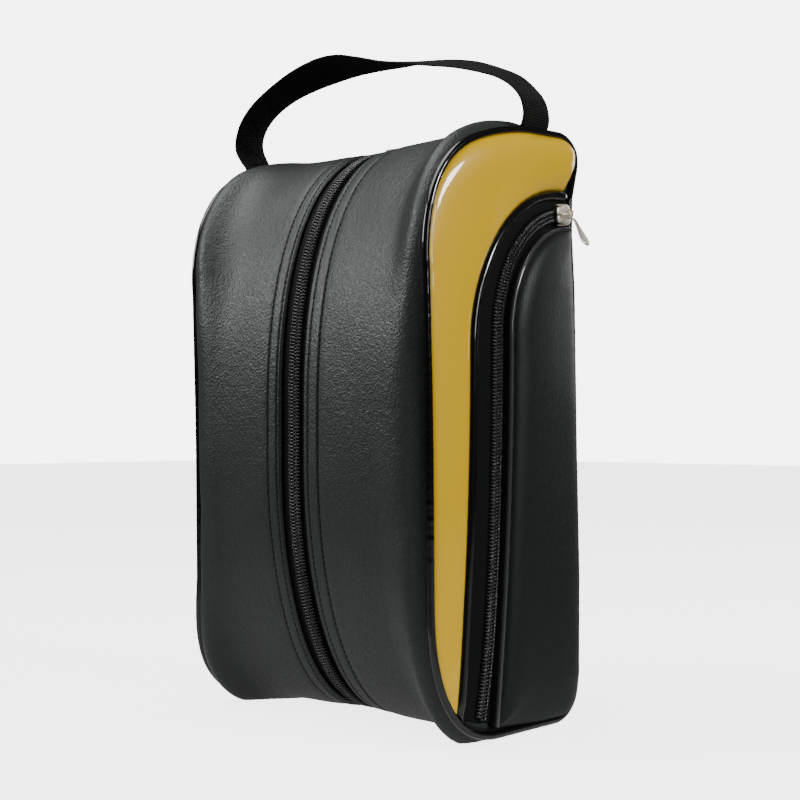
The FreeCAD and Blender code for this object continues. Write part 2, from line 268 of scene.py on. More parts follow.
def shell(name, outer, inner, material, side=1, flip=False):
    """Closed thin shell from an outer and an inner grid of the same shape."""
    rows, cols = outer.shape[:2]
    count = rows * cols
    faces = grid_faces(rows, cols, flip=flip) + grid_faces(rows, cols, start=count, flip=not flip)
    edge = list(range(cols))
    edge += [i * cols + cols - 1 for i in range(1, rows)]
    edge += [(rows - 1) * cols + j for j in range(cols - 2, -1, -1)]
    edge += [i * cols for i in range(rows - 2, 0, -1)]
    for a, b in zip(edge, edge[1:] + edge[:1]):
        f = (b, a, a + count, b + count)
        faces.append(f[::-1] if flip else f)
    uv = np.concatenate([grid_uv(outer).reshape(-1, 2), grid_uv(inner).reshape(-1, 2)])
    verts = np.concatenate([outer.reshape(-1, 3), inner.reshape(-1, 3)])
    return make(name, verts, faces, material, side, uv)


def tube_parts(path, radius, sides=12, closed=False, up=None):
    """Verts and faces of a tube; radius may vary along the path."""
    path = np.asarray(path, float)
    t = tangents(path, closed)
    reference = np.array([1.0, 0, 0]) if up is None else np.asarray(up, float)
    reference = np.broadcast_to(reference, path.shape)
    across = np.cross(t, reference)
    across /= np.maximum(np.linalg.norm(across, axis=1, keepdims=True), 1e-9)
    lift = np.cross(across, t)
    radius = np.broadcast_to(np.asarray(radius, float), (len(path),))[:, None, None]
    turn = np.linspace(0, 2 * math.pi, sides, endpoint=False)[None, :, None]
    ring = across[:, None, :] * np.cos(turn) + lift[:, None, :] * np.sin(turn)
    verts = path[:, None, :] + ring * radius
    rows = len(path)
    faces = grid_faces(rows, sides, True, flip=True)
    if closed:
        for j in range(sides):
            k = (j + 1) % sides
            faces.append(((rows - 1) * sides + j, j, k, (rows - 1) * sides + k))
    else:
        faces.append(tuple(range(sides)))
        faces.append(tuple(reversed(range((rows - 1) * sides, rows * sides))))
    return verts.reshape(-1, 3), faces


def tube(name, path, radius, material, side=1, **more):
    verts, faces = tube_parts(path, radius, **more)
    return make(name, verts, faces, material, side)


def joined(parts):
    """One set of verts and faces from many."""
    verts, faces, start = [], [], 0
    for v, f in parts:
        verts.append(v)
        faces += [tuple(k + start for k in face) for face in f]
        start += len(v)
    return np.concatenate(verts), faces


def copies(element, faces, origin, along, across, up):
    """The element (along, across, up) set at every frame."""
    element = np.asarray(element, float)
    verts = (
        origin[:, None, :]
        + along[:, None, :] * element[None, :, 0:1]
        + across[:, None, :] * element[None, :, 1:2]
        + up[:, None, :] * element[None, :, 2:3]
    )
    size = len(element)
    all_faces = [tuple(k + i * size for k in f) for i in range(len(origin)) for f in faces]
    return verts.reshape(-1, 3), all_faces


def frames_along(path, up, pitch, offset=0.0):
    """Origin, along, across and up at every pitch of a path whose up is given per point."""
    step = np.linalg.norm(np.diff(path, axis=0), axis=1)
    s = np.concatenate([[0], np.cumsum(step)])
    wanted = np.arange(pitch / 2 + offset, s[-1] - pitch / 3, pitch)
    origin = np.stack([np.interp(wanted, s, path[:, k]) for k in range(3)], 1)
    ahead = np.stack([np.interp(wanted + 0.5, s, path[:, k]) for k in range(3)], 1)
    behind = np.stack([np.interp(wanted - 0.5, s, path[:, k]) for k in range(3)], 1)
    normal = np.stack([np.interp(wanted, s, up[:, k]) for k in range(3)], 1)
    along = ahead - behind
    along /= np.linalg.norm(along, axis=1, keepdims=True)
    normal -= along * (normal * along).sum(1, keepdims=True)
    normal /= np.linalg.norm(normal, axis=1, keepdims=True)
    across = np.cross(normal, along)
    return origin, along, across, normal


def stitch_parts(path, up, pitch=3.7, length=2.4, thick=0.3, rise=0.05):
    """Thread stitches that dip into the leather at both ends."""
    place = frames_along(path, up, pitch)
    rows = np.array([-0.5, -0.38, 0, 0.38, 0.5])
    spine = np.stack([rows * length, 0 * rows, rise - 4.2 * thick * np.abs(rows) ** 3], 1)
    verts, faces = tube_parts(spine, [0.2 * thick, thick, thick, thick, 0.2 * thick], 6,
                              up=(0, 0, 1))
    return copies(verts, faces, *place)


def tooth():
    """One bar of a coil: up from the tape, over the top and down between its neighbours."""
    d = np.array([5.15, 5.2, 4.7, 3.6, 2.2, 0.9, -0.2, -0.75, -0.8])
    h = np.array([0.0, 1.0, 1.75, 2.1, 2.2, 2.15, 1.9, 1.2, 0.2])
    slant = np.linspace(-0.35, 0.35, len(d))
    path = np.stack([slant, d, h], 1)
    radius = [0.43, 0.45, 0.46, 0.44, 0.42, 0.46, 0.5, 0.48, 0.42]
    return tube_parts(path, radius, 7, up=(1, 0, 0.05))


def coil_parts(path, up, half, offset, wide=4.55):
    """Row of teeth on one side (half 1 or -1) of a zip's middle line, with its thread."""
    origin, along, across, normal = frames_along(path, up, PITCH, offset)
    verts, faces = tooth()
    verts = verts * np.array([1, wide / 5.2, 1])
    if half < 0:
        faces = [tuple(reversed(f)) for f in faces]
    parts = [copies(verts, faces, origin, along, across * half, normal)]
    for d, h in ((0.68 * wide, 2.3), (0.53 * wide, 2.4)):
        s = np.arange(len(origin) * 4)
        base = np.repeat(origin, 4, 0) + np.repeat(along, 4, 0) * (
            ((s % 4) - 1.5) * PITCH / 4)[:, None]
        wave = h + 0.42 * np.cos((s % 4 - 1.5) / 4 * 2 * math.pi)
        line = base + np.repeat(across, 4, 0) * half * d + np.repeat(normal, 4, 0) * wave[:, None]
        parts.append(tube_parts(line, 0.26, 5, up=np.repeat(normal, 4, 0)))
    return joined(parts)


# ---------------------------------------------------------------- materials

class Look:
    """A principled material built up from procedural height and colour layers."""

    def __init__(self, name, color, roughness, **values):
        self.material = bpy.data.materials.new(name)
        self.material.use_nodes = True
        self.tree = self.material.node_tree
        self.shader = self.tree.nodes["Principled BSDF"]
        self.shader.inputs["Base Color"].default_value = (*color, 1)
        self.shader.inputs["Roughness"].default_value = roughness
        for key, value in values.items():
            socket = self.shader.inputs[key.replace("_", " ")]
            socket.default_value = value
        self.color = color
        self.place = self.node("ShaderNodeTexCoord")
        self.normal = None

    def node(self, kind, **values):
        made = self.tree.nodes.new(kind)
        for key, value in values.items():
            if hasattr(made, key):
                setattr(made, key, value)
            else:
                made.inputs[key].default_value = value
        return made

    def link(self, a, b):
        self.tree.links.new(a, b)

    def noise(self, scale, detail=3.0, stretch=None):
        made = self.node("ShaderNodeTexNoise", Scale=scale, Detail=detail, Roughness=0.55)
        self.link(self.mapped(stretch), made.inputs["Vector"])
        return made.outputs["Fac"]

    def mapped(self, stretch):
        if stretch is None:
            return self.place.outputs["Object"]
        made = self.node("ShaderNodeMapping")
        made.inputs["Scale"].default_value = stretch
        self.link(self.place.outputs["Object"], made.inputs["Vector"])
        return made.outputs["Vector"]

    def pebbles(self, scale):
        made = self.node("ShaderNodeTexVoronoi", feature="SMOOTH_F1", Scale=scale)
        made.inputs["Smoothness"].default_value = 0.7
        self.link(self.place.outputs["Object"], made.inputs["Vector"])
        return made.outputs["Distance"]

    def ramp(self, value, low, high, to_low=0.0, to_high=1.0):
        made = self.node("ShaderNodeMapRange")
        made.inputs["From Min"].default_value = low
        made.inputs["From Max"].default_value = high
        made.inputs["To Min"].default_value = to_low
        made.inputs["To Max"].default_value = to_high
        self.link(value, made.inputs["Value"])
        return made.outputs["Result"]

    def wave(self, axis, pitch, phase=0.0):
        """Sine of a UV coordinate in millimetres, 0 to 1."""
        split = self.node("ShaderNodeSeparateXYZ")
        self.link(self.place.outputs["UV"], split.inputs["Vector"])
        turn = self.node("ShaderNodeMath", operation="MULTIPLY_ADD")
        turn.inputs[1].default_value = 2 * math.pi / pitch
        turn.inputs[2].default_value = phase
        self.link(split.outputs[axis], turn.inputs[0])
        sine = self.node("ShaderNodeMath", operation="SINE")
        self.link(turn.outputs[0], sine.inputs[0])
        return self.ramp(sine.outputs[0], -1, 1)

    def times(self, a, b):
        made = self.node("ShaderNodeMath", operation="MULTIPLY")
        self.link(a, made.inputs[0])
        self.link(b, made.inputs[1])
        return made.outputs[0]

    def height(self, value, depth, strength=1.0):
        """Adds a height layer whose full range is depth metres."""
        made = self.node("ShaderNodeBump", Strength=strength, Distance=depth)
        self.link(value, made.inputs["Height"])
        if self.normal is not None:
            self.link(self.normal, made.inputs["Normal"])
        self.normal = made.outputs["Normal"]
        self.link(self.normal, self.shader.inputs["Normal"])
        return self

    def tint(self, value, other, amount_low=0.0, amount_high=1.0):
        """Mixes the base colour towards another by a value."""
        made = self.node("ShaderNodeMix", data_type="RGBA")
        amount = self.ramp(value, 0, 1, amount_low, amount_high)
        self.link(amount, made.inputs["Factor"])
        made.inputs["A"].default_value = (*self.color, 1)
        made.inputs["B"].default_value = (*other, 1)
        self.link(made.outputs["Result"], self.shader.inputs["Base Color"])
        return self

    def rough(self, value, low, high):
        self.link(self.ramp(value, 0.3, 0.7, low, high), self.shader.inputs["Roughness"])
        return self


def grained_leather(name, color, light, rough, grain, depth, shine):
    look = Look(name, color, rough, Specular_IOR_Level=shine, Sheen_Weight=0.03)
    look.height(look.noise(22, 2), 0.0007, 0.5)
    look.height(look.noise(grain * 0.34, 4, (1, 1, 0.62)), depth * 1.6, 0.7)
    look.height(look.pebbles(grain), depth, 0.8)
    look.height(look.noise(grain * 2.1, 3), depth * 0.4, 0.6)
    look.tint(look.noise(grain * 0.5, 4), light)
    look.rough(look.noise(grain * 0.7, 3), rough - 0.07, rough + 0.1)
    return look.material


def patent_leather(name, color, dark, rough=0.2):
    look = Look(name, color, rough, Coat_Weight=1.0, Coat_Roughness=0.035,
                Specular_IOR_Level=0.3)
    look.height(look.noise(28, 2), 0.0005, 0.5)
    look.height(look.noise(260, 3), 0.00003, 0.5)
    look.tint(look.noise(16, 3), dark, 0.0, 0.5)
    return look.material


def woven(name, color, light, pitch, depth, rough=0.8, rib=False):
    look = Look(name, color, rough, Specular_IOR_Level=0.22)
    if rib:
        look.height(look.wave("X", pitch), depth)
        look.height(look.times(look.wave("X", pitch / 2, 0.8), look.wave("Y", pitch * 1.35)),
                    depth * 0.6)
        look.tint(look.wave("X", pitch), light, 0.0, 0.9)
    else:
        weave = look.times(look.wave("X", pitch), look.wave("Y", pitch))
        look.height(weave, depth)
        look.tint(weave, light)
    look.height(look.noise(2600, 2), depth * 0.25, 0.6)
    look.rough(look.noise(900, 2), rough - 0.08, rough + 0.08)
    return look.material


def plastic(name, color, light, rough):
    look = Look(name, color, rough, Specular_IOR_Level=0.9)
    look.tint(look.noise(700, 3), light)
    look.height(look.noise(1800, 2), 0.00003)
    return look.material


def metal(name, color, dark, rough):
    look = Look(name, color, rough, Metallic=1.0)
    look.tint(look.noise(180, 3), dark, 0.0, 0.5)
    look.rough(look.noise(260, 3), rough - 0.05, rough + 0.08)
    return look.material


BLACK_LEATHER = grained_leather(
    "black_leather", (0.017, 0.022, 0.0195), (0.028, 0.034, 0.03), 0.4, 850, 0.00028, 0.5)
CHARCOAL_LEATHER = grained_leather(
    "charcoal_leather", (0.005, 0.0068, 0.007), (0.008, 0.01, 0.01), 0.46, 1300, 0.0001, 0.28)
YELLOW_PATENT = patent_leather("yellow_patent", (0.95, 0.58, 0.0), (0.9, 0.52, 0.0), 0.4)
BLACK_PATENT = patent_leather("black_patent", (0.001, 0.001, 0.001), (0.002, 0.002, 0.002))
GREY_PATENT = patent_leather("grey_patent", (0.05, 0.052, 0.056), (0.035, 0.036, 0.038))
WEBBING = woven("webbing", (0.0015, 0.0015, 0.0018), (0.006, 0.006, 0.0065), 1.5, 0.0004,
                0.75, True)
ZIP_TAPE = woven("zip_tape", (0.0015, 0.002, 0.002), (0.004, 0.005, 0.005), 1.1, 0.0002)
ZIP_COIL = plastic("zip_coil", (0.008, 0.008, 0.008), (0.022, 0.022, 0.022), 0.24)
THREAD = woven("thread", (0.0015, 0.0015, 0.0015), (0.005, 0.005, 0.005), 0.5, 0.0001, 0.6)
LINING = woven("lining", (0.07, 0.072, 0.075), (0.11, 0.112, 0.115), 0.9, 0.00015, 0.75)
BRIGHT_METAL = metal("slider_metal", (1.0, 0.95, 0.84), (0.9, 0.83, 0.66), 0.4)


# ---------------------------------------------------------------- placing pieces


def follow(piece):
    """A soft piece of one half shell, with its transform baked into its mesh."""
    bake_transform(piece)
    return piece


def lift_line(x, angles, depth=0.0):
    """Path along the gusset at a fixed x, with the outward direction at each point."""
    path = gusset(np.full(len(angles), x), angles, depth)
    beside = gusset(np.full(len(angles), x + 0.5), angles, depth)
    up = -np.cross(beside - path, tangents(path))
    up /= np.linalg.norm(up, axis=1, keepdims=True)
    return path, up


HEMS = {1: (9.4, 13.7, 22.5), -1: (11.5, 14.5, 22.6)}  # turned edge, first and second seam


def hem(x, edge, first, second):
    """Height of the leather by distance from the zip: turned edge, two sewn lines, foam."""
    rim = -1.1 * (1 - smoothstep(edge, edge + 1.3, x))
    seams = -0.62 * bump(x, first, 0.55) - 0.78 * bump(x, second, 0.6)
    band = 0.3 * smoothstep(first, first + 2, x) * (1 - smoothstep(second - 2, second, x))
    panel = 0.55 * smoothstep(second, second + 5, x)
    return 0.85 + rim + seams + band + panel


def build_gusset(side, name):
    edge, first, second = HEMS[side]
    xs = np.concatenate([
        np.linspace(edge, first - 1.2, 7), np.linspace(first - 0.9, first + 0.9, 10),
        np.linspace(first + 1.4, second - 1.4, 6), np.linspace(second - 1, second + 1, 10),
        np.linspace(second + 1.8, 82, 22), np.linspace(84, 100.9, 16),
    ])
    rows = 280
    angles = even_angles(SEAM_TOP, SEAM_BASE, rows)
    a, x = np.meshgrid(angles, xs, indexing="ij")
    ends = np.minimum(np.arange(rows), np.arange(rows)[::-1]) * 2.1
    dip = (1.1 * np.exp(-(ends / 2.2) ** 2))[:, None]
    rise = hem(x, edge, first, second)
    top = gusset(side * x, a, dip - rise)
    under = gusset(side * x, a, dip - rise + LEATHER)
    leather = shell("gusset_leather_" + name, top, under, BLACK_LEATHER, side, flip=True)
    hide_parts("gusset_leather_" + name, "gusset_foam_" + name)
    follow(leather)

    stitches = []
    for line in (first, second):
        path, up = lift_line(line, angles[2:-2], -0.5)
        stitches.append(stitch_parts(path, up))
    verts, faces = joined(stitches)
    thread = make("gusset_thread_" + name, verts, faces, THREAD, side)
    follow(thread)

    inner_x = np.linspace(19, 96.5, 24)
    inner_angles = even_angles(SEAM_TOP, SEAM_BASE, 130)
    a, x = np.meshgrid(inner_angles, inner_x, indexing="ij")
    slack = 0.5 * np.sin(a * 9 + x / 7) * np.sin(x / 15)
    outer = gusset(side * x, a, LINING_TOP + slack)
    inner = gusset(side * x, a, LINING_UNDER + slack)
    lining = shell("gusset_lining_" + name, outer, inner, LINING, side, flip=True)
    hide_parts("gusset_lining_" + name)
    follow(lining)


def build_main_zip(side, name):
    angles = even_angles(angle_at(45.0, TOP_Z), angle_at(45.0, BASE_Z), 260)
    xs = np.array([0.25, 2, 4, 6, 8, 10, 12, 15, 18, 21.5])
    a, x = np.meshgrid(angles, xs, indexing="ij")
    rest = 2.3 + 0.3 * bump(x, 7.5, 2.0)
    tape = shell("main_zip_tape_" + name, gusset(x, a, rest), gusset(x, a, rest + 0.6),
                 ZIP_TAPE, side, flip=True)
    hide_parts("main_zip_tape_" + name)
    follow(tape)

    teeth = even_angles(angle_at(42, TOP_Z), angle_at(42, BASE_Z), 500)
    path, up = lift_line(0.0, teeth, 2.25)
    offset = 0 if side > 0 else PITCH / 2
    verts, faces = coil_parts(path, up, side, offset)
    coil = make("main_zip_coil_" + name, verts, faces, ZIP_COIL)
    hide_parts("main_zip_coil_" + name)
    follow(coil)


def build_back(side, name):
    rows = 210
    angles = even_angles(SEAM_BASE, SEAM_TOP + 2 * math.pi, rows)
    xs = np.concatenate([np.linspace(0, 84, 26), np.linspace(86, 100.9, 14)])
    a, x = np.meshgrid(angles, xs, indexing="ij")
    ends = np.minimum(np.arange(rows), np.arange(rows)[::-1]) * 1.8
    dip = (1.1 * np.exp(-(ends / 2.2) ** 2))[:, None]
    lift = 0.9 * smoothstep(0, 30, ends)[:, None] - dip
    top = gusset(x, a, -lift)
    under = gusset(x, a, -lift + LEATHER)
    leather = shell("back_leather_" + name, top, under, BLACK_LEATHER, side, flip=True)
    nodes = ["back_leather_" + name, "back_foam_" + name]
    if side > 0:
        nodes += ["back_spine_leather", "back_spine_foam"]
    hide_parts(*nodes)
    follow(leather)

    xs = np.linspace(0, 96.5, 24)
    a, x = np.meshgrid(angles[::2], xs, indexing="ij")
    slack = 0.5 * np.sin(a * 11 + x / 9) * np.sin(x / 13)
    lining = shell("back_lining_" + name, gusset(x, a, LINING_TOP + slack),
                   gusset(x, a, LINING_UNDER + slack), LINING, side, flip=True)
    nodes = ["back_lining_" + name] + (["back_spine_lining"] if side > 0 else [])
    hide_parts(*nodes)
    follow(lining)

    stitches = []
    for seam, inward in ((SEAM_BASE, 1), (SEAM_TOP, -1)):
        xs = np.linspace(1, 98, 120)
        angle = np.full(120, seam + inward * 0.028)
        path = gusset(xs, angle, -0.75)
        behind = gusset(xs, angle + 0.01, -0.75)
        up = np.cross(tangents(path), behind - path)
        up /= np.linalg.norm(up, axis=1, keepdims=True)
        if (up * (path - np.array([0, 0, MIDDLE[1]]))).sum() < 0:
            up = -up
        stitches.append(stitch_parts(path, up))
    verts, faces = joined(stitches)
    thread = make("back_thread_" + name, verts, faces, THREAD, side)
    follow(thread)


# ---------------------------------------------------------------- side panels

POCKET_CENTRE = (60.0, 232.0)  # y, z of the middle of the pocket zip's corner arc


def track(centre, arc, drops, head_y, foot_z, count=240):
    """Line like the pocket zip: an arc over the corner, then an easy curve down."""
    start = math.asin(min(1, (head_y - centre[0]) / arc[0]))
    turn = np.linspace(start, -math.pi / 2, count)
    top = np.stack([centre[0] + arc[0] * np.sin(turn), centre[1] + arc[1] * np.cos(turn)], 1)
    z = np.linspace(centre[1], foot_z, count)
    t = (centre[1] - z) / 226
    y = centre[0] - arc[0] - drops[0] * t ** 2 - drops[1] * t ** 6
    return resample(np.vstack([top, np.stack([y, z], 1)[1:]]), count)


def zip_line(offset, head_y=62.5, foot_z=13.0):
    """Line of the pocket zip's teeth, or one beside it (positive is forward and up)."""
    return track(POCKET_CENTRE, (68.7 + offset, 74.5 + offset), (9.5, 8.0), head_y, foot_z)


def pocket_line(offset, head_y=60.5, foot_z=10.0):
    """Line of the piped edge of the pocket, at offset -8.6."""
    return track(POCKET_CENTRE, (68.5 + offset, 74.5 + offset), (14.0, 0.0), head_y, foot_z)


def patent_line(offset, head_y, foot_z):
    return track((57.0, 225.0), (88.0 + offset, 96.0 + offset), (12.6, 1.6), head_y, foot_z)


def inset_loop(inset, start, end, count=240):
    angle = even_angles(start, end, count)
    r = side_radius(angle) - inset
    return np.stack([MIDDLE[0] + r * np.cos(angle), MIDDLE[1] + r * np.sin(angle)], 1)


def within(line, inset=3.7, count=240):
    """The part of a line, from its head, that stays inside the side outline."""
    reach = np.hypot(line[:, 0] - MIDDLE[0], line[:, 1] - MIDDLE[1])
    turn = np.arctan2(line[:, 1] - MIDDLE[1], line[:, 0] - MIDDLE[0]) % (2 * math.pi)
    half = len(line) // 2
    outside = np.nonzero(reach[half:] > side_radius(turn[half:]) - inset)[0]
    last = half + outside[0] if len(outside) else len(line)
    return resample(line[:last], count)


def away(points, line):
    """Distance of every point to a dense polyline."""
    flat = points.reshape(-1, 2)
    best = np.full(len(flat), 1e9)
    for k in range(0, len(line), 40):
        d = np.linalg.norm(flat[:, None] - line[None, k:k + 40], axis=2).min(1)
        best = np.minimum(best, d)
    return best.reshape(points.shape[:-1])


def ruled(first, second, across):
    """Grid of (y, z) from one line to another; across runs 0 to 1."""
    v = np.asarray(across)[None, :, None]
    return first[:, None, :] * (1 - v) + second[:, None, :] * v


def dome(distance, reach, power=2.2):
    t = 1 - np.clip(distance / reach, 0, 1)
    return (1 - t ** power) ** (1 / power)


def on_side(flat, height):
    """3-D points from (y, z) and a height out from the side of the bag."""
    y, z = flat[..., 0], flat[..., 1]
    return np.stack([side_x(y, z) + height, y, z], -1)


def lay(name, flat, height, thickness, material, side, flip=False):
    return shell(name, on_side(flat, height), on_side(flat, height - thickness),
                 material, side, flip=flip)


def build_side(side, name):
    wall = name + "_wall"

    def settle(piece, slot, *nodes):
        if nodes:
            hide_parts(*[n + "_" + name for n in nodes])
        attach(piece, wall)
        return piece

    # corded edge round the whole side
    angle = even_angles(0, 2 * math.pi, 721)[:-1]
    r = side_radius(angle) - 1.7
    y = MIDDLE[0] + r * np.cos(angle)
    z = MIDDLE[1] + r * np.sin(angle)
    crinkle = 2.35 + 0.05 * np.sin(angle * 97) * np.sin(angle * 31)
    cord = np.stack([side_x(y, z) + 0.4, y, z], 1)
    settle(tube("side_piping_" + name, cord, crinkle, BLACK_PATENT, side, sides=14,
                closed=True, up=(1, 0, 0)), "black_patent", "side_piping")

    # stiff layers behind the panels, and the lining inside
    ring = even_angles(0, 2 * math.pi, 161)
    for label, x0, thick, material, slot, nodes in (
        ("side_backing_", -0.5, 1.6, BLACK_LEATHER, "backing", ("side_backing", "side_foam")),
        ("side_lining_", -6.0, 0.6, LINING, "lining", ("side_lining",)),
    ):
        reach = np.linspace(0.02, 1, 22)
        a, k = np.meshgrid(ring, reach, indexing="ij")
        rr = (side_radius(a) - 3.5) * k
        flat = np.stack([MIDDLE[0] + rr * np.cos(a), MIDDLE[1] + rr * np.sin(a)], -1)
        slack = 0.5 * np.sin(flat[..., 1] / 17) * np.sin(flat[..., 0] / 13)
        height = x0 + slack * (x0 < -3)
        settle(lay(label + name, flat, height, thick, material, side, flip=True), slot, *nodes)

    # padded glossy panel, from the back of the top down to a point at the base
    inner = within(patent_line(0.0, 56.0, 6.0))
    tip = angle_at(*inner[-1])
    outer = inset_loop(3.6, angle_at(62.2, 343.5), tip, 240)
    v = np.linspace(0, 1, 26)
    v = 0.5 - 0.5 * np.cos(v * math.pi)
    flat = ruled(outer, inner, v)
    width = np.linalg.norm(outer - inner, axis=1)[:, None]
    lip = resample(np.stack([outer[0], inner[0]]), 40)
    edge = np.minimum(away(flat, resample(outer, 600)), away(flat, resample(inner, 600)))
    top = smoothstep(300, 345, flat[..., 1])
    swell = np.clip(0.16 * width, 0, 4.6) + 2.6 * top
    height = swell * dome(edge, np.maximum(0.46 * width, 1.0)) * (
        0.45 + 0.55 * dome(away(flat, lip), 11.0))
    sweep = np.hypot(flat[..., 0] - 33, flat[..., 1] - 296)
    height = height + 0.3 * bump(sweep, 50, 4) * smoothstep(280, 300, flat[..., 1])
    panel = lay("patent_panel_" + name, flat, 0.6 + height, 1.2, YELLOW_PATENT, side, flip=True)
    settle(panel, "yellow_patent", "patent_panel")

    # rolled gloss strip over the edge between the panel and the zip tape
    v = np.linspace(0, 1, 14)
    flat = ruled(within(patent_line(0.3, 58.5, 6)), within(patent_line(-6.2, 58.5, 6)), v)
    taper = smoothstep(0, 14, flat[..., 1] - inner[-1][1] + 6)
    height = 0.4 + 3.0 * np.sin(math.pi * v)[None, :] ** 0.55 * (0.3 + 0.7 * taper)
    settle(lay("pocket_binding_" + name, flat, height, 1.0, BLACK_PATENT, side, flip=True),
           "black_patent", "pocket_binding")

    # pocket zip
    for half, label in ((1, "outer"), (-1, "inner")):
        near = zip_line(0.25 * half)
        if half > 0:
            flat = ruled(within(patent_line(-5.2, 62.0, 6)), near, np.linspace(0, 1, 10))
        else:
            flat = ruled(near, pocket_line(-8.5, 62.5, 12.0), np.linspace(0, 1, 8))
        settle(lay("pocket_tape_%s_%s" % (label, name), flat, 0.45, 0.5, ZIP_TAPE, side,
                   flip=True), "zip_tape", "pocket_tape_" + label)
        path = on_side(zip_line(0.0, 60.0, 14.0), 0.5)
        path[:, 0] = np.minimum(path[:, 0], 102.8)
        up = np.tile([1.0, 0, 0], (len(path), 1))
        parts = coil_parts(path, up, -half, 0 if half > 0 else PITCH / 2, 4.15)
        settle(make("pocket_coil_%s_%s" % (label, name), *parts, ZIP_COIL, side),
               "zip_coil", "pocket_coil_" + label)

    # pocket: rim, piping and pillowed panel
    v = np.linspace(0, 1, 7)
    flat = ruled(pocket_line(-7.1, 61.0, 10), pocket_line(-8.2, 61.0, 10), v)
    rise = np.broadcast_to((0.5 + 4.4 * np.sin(v * math.pi / 2))[None, :], flat.shape[:2])
    rim = lay("pocket_rim_" + name, flat, rise, 0.8, CHARCOAL_LEATHER, side, flip=True)
    settle(rim, "charcoal_leather", "pocket_lining")
    cord = on_side(pocket_line(-8.6, 60.3, 10.0), 4.8)
    settle(tube("pocket_piping_" + name, cord, 1.5, GREY_PATENT, side, sides=12,
                up=(1, 0, 0)), "grey_patent", "pocket_piping")
    front = pocket_line(-9.2, 60.3, 9.0)
    hull = np.concatenate([
        np.array([[60.3, front[0][1]], [62.5, front[0][1] - 8], [63.8, 200.0], [64.4, 60.0]]),
        corner(51.0, 20.0, 13.6, 14.6, 2, 1, -1, 20)[::-1],
        np.array([[30.0, 5.6], [front[-1][0], 8.4]]),
    ])
    back = resample(hull, 240)
    v = 0.5 - 0.5 * np.cos(np.linspace(0, 1, 44) * math.pi)
    flat = ruled(front, back, v)
    d = np.minimum(away(flat, resample(front, 500)), away(flat, resample(back, 600)))
    base = 4.6 - 4.0 * smoothstep(0, 1, v)[None, :]
    base = base * (0.5 + 0.5 * smoothstep(8, 30, flat[..., 1]))
    crown = 4.6 * dome(d, 13.0, 2.2) + 2.6 * dome(d, 34.0, 2.0)
    soft = ripple(0 * d, flat[..., 0] * 1.3, flat[..., 1] * 1.1, 0.5) * smoothstep(2, 14, d)
    panel = lay("pocket_panel_" + name, flat, base + crown + soft, LEATHER, CHARCOAL_LEATHER,
                side, flip=True)
    settle(panel, "charcoal_leather", "pocket_panel")


# ---------------------------------------------------------------- handle, tabs, sliders

HANDLE_STATIONS = [
    # x, y, z of the middle of the webbing, and its roll in degrees
    (-100.5, -5, 343, 0), (-101.6, -5, 351, -1), (-106.5, -5, 357, -4),
    (-112, -5, 366, -8), (-112, -5, 374, -8), (-107, -5, 383, -3),
    (-97, -4, 392, 2), (-82, -2, 400, 8), (-64, 0, 406, 18),
    (-46, 3, 410, 24), (-29, 5, 411, 20), (-11, 7, 409, 8), (7, 9, 406, -4),
    (25, 11, 404, -13), (43, 13, 401, -18), (61, 15, 397, -18), (78, 17, 391, -14),
    (91, 19, 385, -10), (101, 20, 377, -4), (107.5, 20, 369, -2), (107.8, 23, 361, 0),
    (105.4, 25, 355.5, 0), (102.0, 26, 351, 0), (100.8, 26, 343, 0),
]


def smooth_line(points, count):
    """Evenly spaced cubic line through all its points."""
    points = np.asarray(points, float)
    padded = np.vstack([2 * points[0] - points[1], points, 2 * points[-1] - points[-2]])
    out = []
    for i in range(len(points) - 1):
        p0, p1, p2, p3 = padded[i:i + 4]
        t = np.linspace(0, 1, 12, endpoint=False)[:, None]
        out.append(0.5 * (2 * p1 + (p2 - p0) * t + (2 * p0 - 5 * p1 + 4 * p2 - p3) * t ** 2
                          + (3 * p1 - p0 - 3 * p2 + p3) * t ** 3))
    line = np.vstack(out + [points[-1:]])
    return resample(line, count)


def build_handle():
    line = smooth_line(HANDLE_STATIONS, 181)
    middle = line[:, :3]
    flat_path = middle * np.array([1, 0, 1])
    along = tangents(flat_path)
    roll = np.radians(line[:, 3])
    across = np.stack([0 * roll, np.cos(roll), -np.sin(roll)], 1)
    out = np.cross(along, across)
    out /= np.linalg.norm(out, axis=1, keepdims=True)
    ring = 28
    turn = np.linspace(0, 2 * math.pi, ring, endpoint=False)
    flat = np.sign(np.cos(turn)) * np.abs(np.cos(turn)) ** 0.3 * WEBBING_HALF
    thick = np.sign(np.sin(turn)) * np.abs(np.sin(turn)) ** 0.6 * WEBBING_THIN
    rings = (middle[:, None] + across[:, None] * flat[None, :, None]
             + out[:, None] * thick[None, :, None])
    step = np.concatenate([[0], np.cumsum(np.linalg.norm(np.diff(middle, axis=0), axis=1))])
    centre = int(np.argmin(np.abs(middle[:, 0])))
    for label, side, rows in (
        ("left", -1, slice(0, centre + 1)), ("right", 1, slice(centre, None)),
    ):
        part = rings[rows]
        uv = np.stack(np.broadcast_arrays(step[rows][:, None], flat[None, :]), -1)
        count = len(part)
        faces = grid_faces(count, ring, True, flip=True)
        faces.append(tuple(range(ring)))
        faces.append(tuple(reversed(range((count - 1) * ring, count * ring))))
        strap = make("handle_webbing_" + label, part, faces, WEBBING, uv=uv)
        if side > 0:
            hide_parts("handle_webbing")
        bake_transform(strap)


